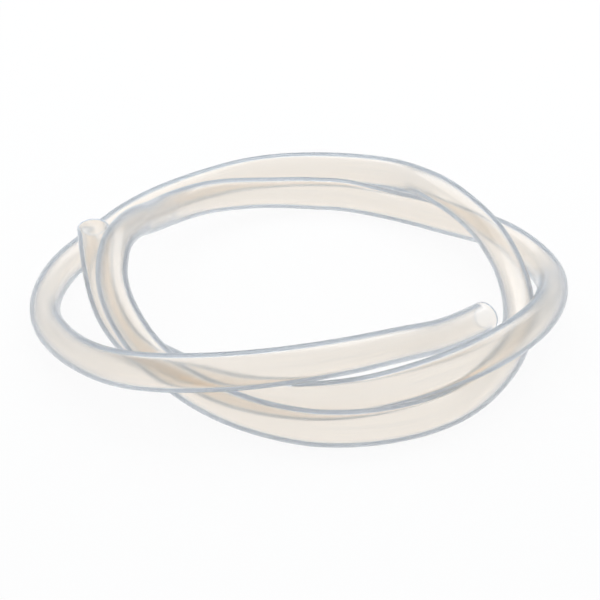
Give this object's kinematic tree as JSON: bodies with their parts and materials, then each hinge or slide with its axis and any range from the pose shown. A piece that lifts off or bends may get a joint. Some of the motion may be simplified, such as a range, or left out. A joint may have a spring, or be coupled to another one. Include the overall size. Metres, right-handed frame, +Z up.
{
  "type": "silicone tubing coil",
  "caption": "Length of plain translucent silicone laboratory tubing, hollow right through, lying in loose overlapping turns on a flat surface.",
  "frame": {"origin": "on the surface that the coil lies on, under the middle of the coil's box", "axes": "+Z up; +Y across the coil's longer side, away from the side where the strands cross over each other; +X towards the outer loop opposite the raised free end"},
  "size_m": [0.2104, 0.2246, 0.038],
  "materials": {
    "silicone": "smooth translucent silicone with a soft gloss and a faint cream tint, darker along its edges"
  },
  "bodies": {
    "root": {"silicone_tube": "silicone"}
  },
  "joints": []
}
